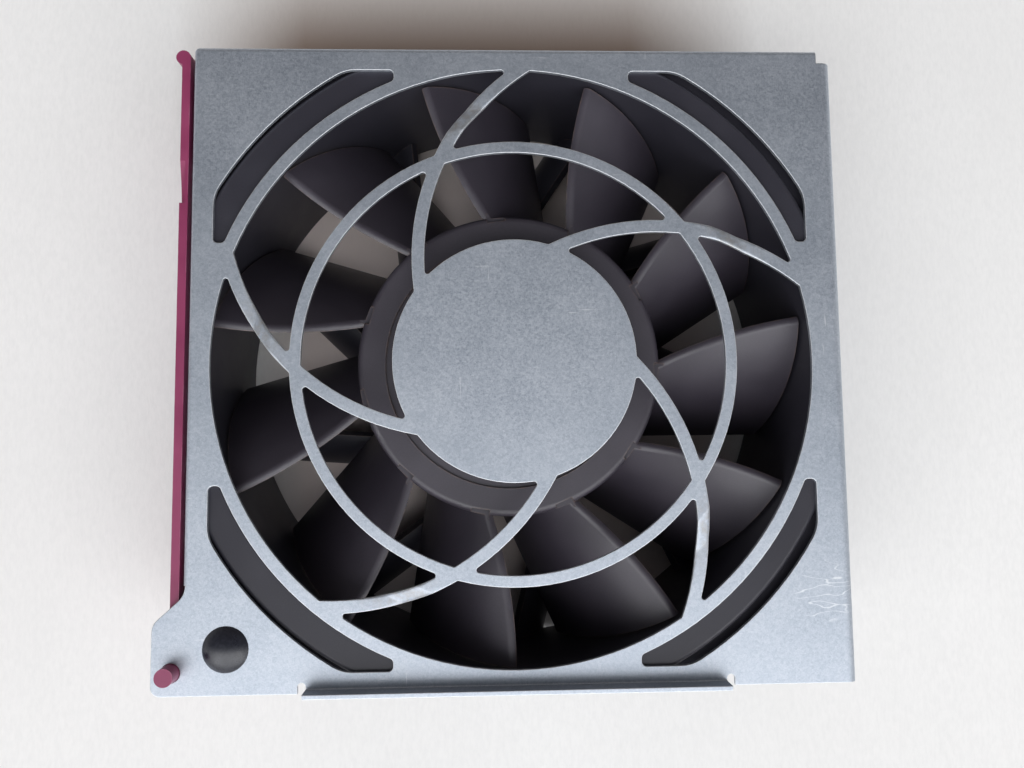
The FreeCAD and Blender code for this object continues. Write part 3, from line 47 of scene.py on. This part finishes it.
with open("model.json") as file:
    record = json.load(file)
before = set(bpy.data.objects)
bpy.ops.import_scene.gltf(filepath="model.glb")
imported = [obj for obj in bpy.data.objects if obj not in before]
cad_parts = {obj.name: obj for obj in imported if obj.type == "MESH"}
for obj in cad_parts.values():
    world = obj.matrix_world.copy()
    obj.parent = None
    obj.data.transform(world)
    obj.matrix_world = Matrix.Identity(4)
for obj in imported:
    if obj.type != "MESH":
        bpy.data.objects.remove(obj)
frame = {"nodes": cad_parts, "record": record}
cad_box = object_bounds()
scene = bpy.context.scene


# ---- node helpers --------------------------------------------------------------------------------

# The colour sockets of a Mix node, which has one set of sockets for each kind of data.
MIX_AMOUNT = 0
MIX_UNDER = 6
MIX_OVER = 7
MIX_RESULT = 2


class Surface:
    """A material under construction. Nodes are added by short calls and joined as they are made;
    every pattern is laid out in the row's own millimetres."""

    def __init__(self, name):
        self.material = bpy.data.materials.new(name)
        self.material.use_nodes = True
        self.tree = self.material.node_tree
        self.shader = self.tree.nodes["Principled BSDF"]
        coordinates = self.tree.nodes.new("ShaderNodeTexCoord")
        scaled = self.tree.nodes.new("ShaderNodeMapping")
        scaled.inputs["Scale"].default_value = (1000, 1000, 1000)
        self.tree.links.new(coordinates.outputs["Object"], scaled.inputs["Vector"])
        self.place = scaled.outputs["Vector"]
        self.bump_chain = None

    def join(self, source, target):
        self.tree.links.new(source, target)

    def feed(self, socket, value):
        """Sets a number or a colour on a socket, or joins another node's output to it."""
        if isinstance(value, tuple):
            socket.default_value = (*value, 1)
        elif isinstance(value, (int, float)):
            socket.default_value = value
        else:
            self.join(value, socket)

    def stretched(self, scale=(1, 1, 1), turn=(0, 0, 0), shift=(0, 0, 0)):
        node = self.tree.nodes.new("ShaderNodeMapping")
        node.inputs["Scale"].default_value = scale
        node.inputs["Rotation"].default_value = turn
        node.inputs["Location"].default_value = shift
        self.join(self.place, node.inputs["Vector"])
        return node.outputs["Vector"]

    def noise(self, size, detail=3, roughness=0.55, place=None):
        node = self.tree.nodes.new("ShaderNodeTexNoise")
        node.inputs["Scale"].default_value = 1 / size
        node.inputs["Detail"].default_value = detail
        node.inputs["Roughness"].default_value = roughness
        self.join(place or self.place, node.inputs["Vector"])
        return node.outputs["Fac"]

    def cells(self, size, feature="F1", output="Color"):
        node = self.tree.nodes.new("ShaderNodeTexVoronoi")
        node.feature = feature
        node.inputs["Scale"].default_value = 1 / size
        self.join(self.place, node.inputs["Vector"])
        return node.outputs[output]

    def ramp(self, value, *stops):
        """Maps a value through (position, colour or grey) stops."""
        node = self.tree.nodes.new("ShaderNodeValToRGB")
        elements = node.color_ramp.elements
        while len(elements) < len(stops):
            elements.new(0.5)
        for element, (position, colour) in zip(elements, stops):
            element.position = position
            element.color = (*colour, 1) if isinstance(colour, tuple) else (colour,) * 3 + (1,)
        self.join(value, node.inputs["Fac"])
        return node.outputs["Color"]

    def range(self, value, low, high, start=0.0, end=1.0):
        node = self.tree.nodes.new("ShaderNodeMapRange")
        node.inputs["From Min"].default_value = low
        node.inputs["From Max"].default_value = high
        node.inputs["To Min"].default_value = start
        node.inputs["To Max"].default_value = end
        self.join(value, node.inputs["Value"])
        return node.outputs["Result"]

    def math(self, operation, *values, clamp=False):
        node = self.tree.nodes.new("ShaderNodeMath")
        node.operation = operation
        node.use_clamp = clamp
        for socket, value in zip(node.inputs, values):
            self.feed(socket, value)
        return node.outputs["Value"]

    def mix(self, amount, under, over):
        node = self.tree.nodes.new("ShaderNodeMix")
        node.data_type = "RGBA"
        self.feed(node.inputs[MIX_AMOUNT], amount)
        self.feed(node.inputs[MIX_UNDER], under)
        self.feed(node.inputs[MIX_OVER], over)
        return node.outputs[MIX_RESULT]

    def axis(self, letter, source=None):
        node = self.tree.nodes.new("ShaderNodeSeparateXYZ")
        self.join(source or self.place, node.inputs["Vector"])
        return node.outputs[letter]

    def distance(self, centre, axes=(1, 1, 0)):
        """Millimetres from a point of the row, over the axes given."""
        shifted = self.stretched(scale=axes, shift=tuple(-c * a for c, a in zip(centre, axes)))
        node = self.tree.nodes.new("ShaderNodeVectorMath")
        node.operation = "LENGTH"
        self.join(shifted, node.inputs[0])
        return node.outputs["Value"]

    def rounded(self, radius):
        """Edges catch the light as if they were broken by this radius in millimetres."""
        bevel = self.tree.nodes.new("ShaderNodeBevel")
        bevel.samples = 8
        self.join(self.math("MULTIPLY", radius, MM), bevel.inputs["Radius"])
        self.bump_chain = bevel.outputs["Normal"]

    def edges(self, radius):
        """1 on the rims of the shape and 0 on its flats, by how far a bevel turns the normal."""
        bevel = self.tree.nodes.new("ShaderNodeBevel")
        bevel.samples = 6
        bevel.inputs["Radius"].default_value = radius * MM
        geometry = self.tree.nodes.new("ShaderNodeNewGeometry")
        dot = self.tree.nodes.new("ShaderNodeVectorMath")
        dot.operation = "DOT_PRODUCT"
        self.join(bevel.outputs["Normal"], dot.inputs[0])
        self.join(geometry.outputs["Normal"], dot.inputs[1])
        return self.range(dot.outputs["Value"], 1.0, 0.86)

    def bump(self, height, depth, strength):
        node = self.tree.nodes.new("ShaderNodeBump")
        node.inputs["Strength"].default_value = strength
        node.inputs["Distance"].default_value = depth * MM
        self.join(height, node.inputs["Height"])
        if self.bump_chain:
            self.join(self.bump_chain, node.inputs["Normal"])
        self.bump_chain = node.outputs["Normal"]
        self.join(self.bump_chain, self.shader.inputs["Normal"])

    def colour(self, value):
        self.join(value, self.shader.inputs["Base Color"])

    def rough(self, value):
        self.feed(self.shader.inputs["Roughness"], value)

    def metal(self, value):
        self.feed(self.shader.inputs["Metallic"], value)

    def gloss(self, specular=0.5, coat=0.0, coat_roughness=0.1):
        self.shader.inputs["Specular IOR Level"].default_value = specular
        self.shader.inputs["Coat Weight"].default_value = coat
        self.shader.inputs["Coat Roughness"].default_value = coat_roughness


# ---- materials -----------------------------------------------------------------------------------

def galvanised_sheet():
    """Zinc-coated sheet: a fine grey spangle, clouded, with painted highlights on its sheared rims and
    handling marks.
    """
    s = Surface("galvanised_sheet")
    spangle = s.axis("X", s.cells(0.45))
    grain = s.noise(0.24, detail=3, roughness=0.8)
    cloud = s.noise(14, detail=4)
    tone = s.math("ADD", s.math("MULTIPLY", spangle, 0.12), s.math("MULTIPLY", grain, 0.66))
    tone = s.math("ADD", tone, s.math("MULTIPLY", cloud, 0.22))
    base = s.ramp(tone, (0.32, (0.345, 0.385, 0.445)), (0.50, (0.46, 0.50, 0.56)),
                  (0.70, (0.59, 0.62, 0.67)))
    # Fine scratches that run both ways.
    lines = s.noise(0.5, detail=2, place=s.stretched(scale=(0.06, 1, 1), turn=(0, 0, 0.5)))
    crossed = s.noise(0.5, detail=2, place=s.stretched(scale=(1, 0.05, 1), turn=(0, 0, -0.3)))
    patchy = s.range(s.noise(13, detail=2), 0.50, 0.62)
    scratches = s.math("MAXIMUM", s.range(lines, 0.72, 0.76), s.range(crossed, 0.73, 0.77))
    scratches = s.math("MULTIPLY", scratches, patchy, clamp=True)
    # Wandering scratches in the lower right corner of the front.
    wander = s.noise(7, detail=2, place=s.stretched(scale=(0.45, 1.7, 1), turn=(0, 0, 0.3)))
    level = s.math("ABSOLUTE", s.math("SUBTRACT", wander, 0.5))
    scribble = s.math("MULTIPLY", s.range(level, 0.010, 0.003),
                      s.range(s.distance(SCRATCHED_CORNER), 6.5, 4.5))
    scratches = s.math("MAXIMUM", scratches, scribble)
    base = s.mix(s.math("MULTIPLY", scratches, 0.5), base, (0.86, 0.87, 0.88))
    # Brown rubs where the guard's arms are drawn up from the plate.
    reach = s.distance(GUARD_CENTRE)
    drawn = s.math("MULTIPLY", s.range(reach, DRAWN_START, DRAWN_FULL),
                   s.range(reach, DRAWN_END, DRAWN_FADING))
    rubbed = s.math("MULTIPLY", drawn, s.range(s.noise(1.6, detail=6, roughness=0.7), 0.40, 0.70))
    base = s.mix(s.math("MULTIPLY", rubbed, 0.8), base, (0.36, 0.33, 0.30))
    # Painted highlight: the rims are painted near-white and less metallic, as edges that catch the
    # light; softer edges on the drawn steps.
    rim_radius = 0.22
    drawn_radius = 0.9
    painted_rim_highlight = s.edges(rim_radius)
    s.rounded(s.math("ADD", rim_radius, s.math("MULTIPLY", drawn, drawn_radius)))
    base = s.mix(s.math("MULTIPLY", painted_rim_highlight, 0.75), base, (0.92, 0.91, 0.89))
    s.colour(base)
    s.metal(s.math("SUBTRACT", 0.92, s.math("MULTIPLY", painted_rim_highlight, 0.25)))
    s.rough(s.math("ADD", s.range(tone, 0.3, 0.75, 0.43, 0.60), s.math("MULTIPLY", drawn, 0.12)))
    s.gloss(0.5)
    s.bump(grain, 0.008, 0.4)
    return s.material


def moulded_black(name, tint, rough, dust, specular):
    """Black moulded plastic: a very fine satin grain, with grey dust that has settled unevenly and
    rims that have worn brown."""
    s = Surface(name)
    grain = s.noise(0.25, detail=4, roughness=0.7)
    cloud = s.noise(11, detail=4)
    lifted = tuple(c * 2.3 + 0.012 for c in tint)
    base = s.mix(s.range(grain, 0.3, 0.8), tint, tuple(c * 1.5 for c in tint))
    film = s.math("MULTIPLY", s.range(cloud, 0.42, 0.75), dust, clamp=True)
    base = s.mix(film, base, lifted)
    specks = s.ramp(s.noise(0.6, detail=2), (0.70, 0.0), (0.76, 1.0))
    base = s.mix(s.math("MULTIPLY", specks, dust * 0.5), base, (0.13, 0.125, 0.12))
    worn = s.math("MULTIPLY", s.edges(0.5), s.range(s.noise(1.5, detail=4), 0.35, 0.65), clamp=True)
    base = s.mix(s.math("MULTIPLY", worn, 0.75), base, (0.150, 0.100, 0.080))
    s.colour(base)
    s.rough(s.range(cloud, 0.3, 0.8, *rough))
    s.gloss(specular)
    s.bump(grain, 0.02, 0.35)
    return s.material


def glossy_black():
    s = Surface("rivet_plastic")
    fine = s.noise(0.5, detail=4)
    cloud = s.noise(3, detail=3)
    s.colour(s.mix(s.range(fine, 0.4, 0.8), (0.010, 0.011, 0.018), (0.026, 0.027, 0.038)))
    s.rough(s.range(cloud, 0.3, 0.8, 0.24, 0.40))
    s.gloss(0.5, 0.15, 0.25)
    s.bump(fine, 0.01, 0.3)
    return s.material


def burgundy_plastic():
    """Burgundy lever: smooth moulded plastic, paler where edges have been scuffed."""
    s = Surface("lever_plastic")
    grain = s.noise(0.4, detail=4)
    cloud = s.noise(9, detail=3)
    base = s.mix(s.range(cloud, 0.3, 0.8), (0.215, 0.030, 0.085), (0.290, 0.046, 0.120))
    scratch = s.noise(0.5, detail=3, place=s.stretched(scale=(1, 0.09, 1)))
    worn = s.math("MULTIPLY", s.edges(0.3), s.range(scratch, 0.45, 0.7), clamp=True)
    base = s.mix(s.math("MULTIPLY", worn, 0.6), base, (0.50, 0.26, 0.33))
    s.colour(base)
    s.rough(s.range(cloud, 0.3, 0.8, 0.34, 0.48))
    s.gloss(0.5)
    s.bump(grain, 0.02, 0.3)
    return s.material


def metal_finish(name, dark, light, rough=(0.25, 0.4)):
    """Machined or stamped metal with fine marks and slight clouding."""
    s = Surface(name)
    marks = s.noise(0.3, detail=4, roughness=0.65)
    cloud = s.noise(5, detail=3)
    base = s.mix(s.range(marks, 0.3, 0.7), dark, light)
    s.colour(s.mix(s.range(cloud, 0.45, 0.8, 0.0, 0.3), base, dark))
    s.metal(1.0)
    s.rough(s.range(cloud, 0.3, 0.8, *rough))
    s.bump(marks, 0.008, 0.4)
    return s.material


def laminated_steel():
    """Stacked electrical steel: thin dark lines between the sheets."""
    s = Surface("laminated_steel")
    height = s.axis("Z")
    layer = s.math("PINGPONG", s.math("MULTIPLY", height, 2.0), 1.0)
    cloud = s.noise(4, detail=3)
    base = s.mix(s.range(layer, 0.0, 0.3), (0.08, 0.08, 0.085), (0.34, 0.35, 0.37))
    s.colour(s.mix(s.range(cloud, 0.4, 0.8, 0.0, 0.4), base, (0.19, 0.17, 0.15)))
    s.metal(0.85)
    s.rough(s.range(cloud, 0.3, 0.8, 0.38, 0.55))
    s.bump(layer, 0.05, 0.6)
    return s.material


def enamelled_copper():
    """Wound wire: rows of round turns."""
    s = Surface("enamelled_copper")
    polar = s.distance((0, 0, 0))
    turns = s.math("PINGPONG", s.math("MULTIPLY", polar, 2.2), 1.0)
    cloud = s.noise(2.5, detail=3)
    base = s.mix(turns, (0.16, 0.045, 0.015), (0.62, 0.25, 0.09))
    s.colour(s.mix(s.range(cloud, 0.4, 0.8, 0.0, 0.35), base, (0.34, 0.11, 0.035)))
    s.metal(0.7)
    s.rough(0.3)
    s.gloss(0.5, 0.4, 0.2)
    s.bump(turns, 0.12, 0.8)
    return s.material


def board_laminate():
    """Green solder mask with faint tracks under it."""
    s = Surface("board_laminate")
    tracks = s.ramp(s.cells(2.2, feature="DISTANCE_TO_EDGE", output="Distance"),
                    (0.0, 1.0), (0.09, 0.0))
    grain = s.noise(0.5, detail=3)
    base = s.mix(s.range(grain, 0.3, 0.8), (0.012, 0.085, 0.035), (0.02, 0.12, 0.05))
    s.colour(s.mix(s.math("MULTIPLY", tracks, 0.6), base, (0.04, 0.20, 0.09)))
    s.rough(s.range(grain, 0.3, 0.8, 0.3, 0.42))
    s.bump(tracks, 0.03, 0.6)
    return s.material


def plain_moulding(name, dark, light, rough=(0.35, 0.5)):
    """Moulded or cast stock: an even grain with slight clouding."""
    s = Surface(name)
    grain = s.noise(0.35, detail=4, roughness=0.65)
    cloud = s.noise(6, detail=3)
    base = s.mix(s.range(grain, 0.3, 0.75), dark, light)
    s.colour(s.mix(s.range(cloud, 0.4, 0.8, 0.0, 0.35), base, dark))
    s.rough(s.range(cloud, 0.3, 0.8, *rough))
    s.bump(grain, 0.02, 0.4)
    return s.material


FINISHES = {
    "galvanised_sheet": galvanised_sheet(),
    "rivet_plastic": glossy_black(),
    "frame_plastic": moulded_black(
        "frame_plastic", (0.021, 0.020, 0.027), (0.36, 0.48), 0.16, 0.4),
    "impeller_plastic": moulded_black(
        "impeller_plastic", (0.031, 0.026, 0.036), (0.42, 0.54), 0.20, 0.75),
    "lever_plastic": burgundy_plastic(),
    "turned_brass": metal_finish(
        "turned_brass", (0.55, 0.38, 0.14), (0.80, 0.62, 0.30)),
    "bearing_steel": metal_finish(
        "bearing_steel", (0.55, 0.56, 0.58), (0.82, 0.83, 0.85), (0.1, 0.2)),
    "cage_steel": metal_finish(
        "cage_steel", (0.42, 0.42, 0.43), (0.66, 0.66, 0.67)),
    "laminated_steel": laminated_steel(),
    "yoke_steel": metal_finish(
        "yoke_steel", (0.36, 0.37, 0.39), (0.58, 0.59, 0.62), (0.3, 0.45)),
    "ferrite": plain_moulding(
        "ferrite", (0.035, 0.035, 0.038), (0.075, 0.075, 0.08), (0.55, 0.7)),
    "insulator_plastic": plain_moulding(
        "insulator_plastic", (0.55, 0.54, 0.50), (0.74, 0.73, 0.69)),
    "enamelled_copper": enamelled_copper(),
    "board_laminate": board_laminate(),
    "chip_epoxy": plain_moulding(
        "chip_epoxy", (0.012, 0.012, 0.013), (0.03, 0.03, 0.032)),
    "capacitor_can": metal_finish(
        "capacitor_can", (0.55, 0.56, 0.58), (0.78, 0.79, 0.81)),
    "connector_plastic": plain_moulding(
        "connector_plastic", (0.014, 0.014, 0.016), (0.035, 0.035, 0.038)),
    "contact_metal": metal_finish(
        "contact_metal", (0.70, 0.50, 0.18), (0.90, 0.72, 0.36), (0.15, 0.3)),
}
for entry in frame["record"]["subparts"]:
    mesh = frame["nodes"][entry["node"]].data
    mesh.materials.clear()
    mesh.materials.append(FINISHES[entry["material_slot"]])


# ---- shading of the carried-over shapes ----------------------------------------------------------

for node in frame["nodes"].values():
    for polygon in node.data.polygons:
        polygon.use_smooth = True
    node.data.set_sharp_from_angle(angle=SMOOTH_ANGLE)


# ---- setting -------------------------------------------------------------------------------------

def floor_material():
    """Pale matt surface with a faint woven tooth, painted shade under the module and a painted shadow
    behind it.
    """
    s = Surface("pale_floor")
    weave = s.noise(0.7, detail=3, place=s.stretched(scale=(1, 0.35, 1)))
    cloud = s.noise(90, detail=3)
    base = s.mix(s.range(cloud, 0.3, 0.75), (0.80, 0.785, 0.77), (0.85, 0.835, 0.82))
    base = s.mix(s.range(weave, 0.35, 0.75, 0.0, 0.35), base, (0.70, 0.69, 0.68))
    # Painted shade: a warm, darker tint on the floor under the module.
    shade_full = 46
    shade_end = 58
    spread = s.math("MAXIMUM", s.math("ABSOLUTE", s.axis("X")), s.math("ABSOLUTE", s.axis("Y")))
    base = s.mix(s.range(spread, shade_end, shade_full, 0.0, 0.8), base, (0.76, 0.64, 0.60))
    # Painted shadow: a brown shadow painted on the floor behind the module, a little to its left.
    shadow_left = 8
    shadow_half = 40
    shadow_side_end = 72
    shadow_back = 82
    shadow_back_end = 112
    sideways = s.math("ABSOLUTE", s.math("ADD", s.axis("X"), shadow_left))
    behind = s.math("MULTIPLY", s.range(s.axis("Y"), 44, 66),
                    s.range(s.axis("Y"), shadow_back_end, shadow_back))
    painted_shadow = s.math("MULTIPLY", s.range(sideways, shadow_side_end, shadow_half), behind)
    s.colour(s.mix(s.math("MULTIPLY", painted_shadow, 0.95), base, (0.26, 0.19, 0.15)))
    s.rough(0.85)
    s.gloss(0.2)
    s.bump(weave, 0.08, 0.5)
    return s.material


def lay_floor():
    level = cad_box[0][2] - FLOOR_GAP
    signs = ((-1, -1), (1, -1), (1, 1), (-1, 1))
    corners = [(x * FLOOR_HALF, y * FLOOR_HALF, level) for x, y in signs]
    mesh = bpy.data.meshes.new("floor")
    mesh.from_pydata(corners, [], [(0, 1, 2, 3)])
    floor = bpy.data.objects.new("floor", mesh)
    scene.collection.objects.link(floor)
    mesh.materials.append(floor_material())


def aim_camera():
    """The camera hangs over the guard, a little below its centre and tipped towards the top."""
    data = bpy.data.cameras.new("camera")
    data.sensor_width = SENSOR_WIDTH
    data.lens = SENSOR_WIDTH * FOCAL_LENGTH_PIXELS / PHOTO_WIDTH
    data.clip_start = 0.01
    camera = bpy.data.objects.new("camera", data)
    scene.collection.objects.link(camera)
    turn = Vector(CAMERA_TURN)
    tilt = Quaternion(turn.normalized(), turn.length).to_matrix()
    flip = Matrix(((1, 0, 0), (0, -1, 0), (0, 0, -1)))
    to_world = (tilt @ flip).transposed() @ flip
    place = Vector((CAMERA_ACROSS, CAMERA_ALONG, PLATE_TOP + CAMERA_OVER_PLATE)) * MM
    camera.matrix_world = Matrix.Translation(place) @ to_world.to_4x4()
    scene.camera = camera


def soft_light(name, place, aim, size, power, colour):
    data = bpy.data.lights.new(name, "AREA")
    data.shape = "RECTANGLE"
    data.size, data.size_y = size
    data.energy = power
    data.color = colour
    lamp = bpy.data.objects.new(name, data)
    lamp.location = place
    lamp.rotation_euler = (Vector(place) - Vector(aim)).to_track_quat("Z", "Y").to_euler()
    scene.collection.objects.link(lamp)


# The room's colours, from straight behind the module, 0, to straight before it, 1.
SKY = (
    (0.00, (0.064, 0.051, 0.045)),
    (0.48, (0.060, 0.064, 0.071)),
    (0.57, (0.300, 0.310, 0.325)),
    (0.67, (0.970, 0.985, 1.000)),
    (0.80, (0.950, 0.965, 0.980)),
    (1.00, (0.460, 0.470, 0.480)),
)
# The wall's colour, and the heights of direction at which it fades out and is full.
WALL = (0.355, 0.350, 0.345)
WALL_TOP = 0.30
WALL_FULL = 0.12
ROOM_STRENGTH = 2.12


def light_room():
    """A bright half of the room before the module, as before a wide window, a dim half behind it,
    and a pale wall low down all round."""
    world = bpy.data.worlds.new("room")
    scene.world = world
    world.use_nodes = True
    nodes = world.node_tree.nodes
    join = world.node_tree.links.new
    background = nodes["Background"]
    background.inputs["Strength"].default_value = ROOM_STRENGTH
    direction = nodes.new("ShaderNodeTexCoord")
    split = nodes.new("ShaderNodeSeparateXYZ")
    join(direction.outputs["Generated"], split.inputs["Vector"])
    forward = nodes.new("ShaderNodeMapRange")
    forward.inputs["From Min"].default_value = 1.0
    forward.inputs["From Max"].default_value = -1.0
    join(split.outputs["Y"], forward.inputs["Value"])
    sky = nodes.new("ShaderNodeValToRGB")
    elements = sky.color_ramp.elements
    while len(elements) < len(SKY):
        elements.new(0.5)
    for element, (position, colour) in zip(elements, SKY):
        element.position = position
        element.color = (*colour, 1)
    join(forward.outputs["Result"], sky.inputs["Fac"])
    low = nodes.new("ShaderNodeMapRange")
    low.inputs["From Min"].default_value = WALL_TOP
    low.inputs["From Max"].default_value = WALL_FULL
    join(split.outputs["Z"], low.inputs["Value"])
    walled = nodes.new("ShaderNodeMix")
    walled.data_type = "RGBA"
    walled.inputs[MIX_OVER].default_value = (*WALL, 1)
    join(low.outputs["Result"], walled.inputs[MIX_AMOUNT])
    join(sky.outputs["Color"], walled.inputs[MIX_UNDER])
    join(walled.outputs[MIX_RESULT], background.inputs["Color"])


lay_floor()
aim_camera()
light_room()
soft_light("window", place=(0.0, -0.66, 0.67), aim=(0, 0, 0.02), size=(1.7, 0.85), power=5.6,
           colour=(0.97, 0.98, 1.0))
scene.view_settings.view_transform = "Standard"
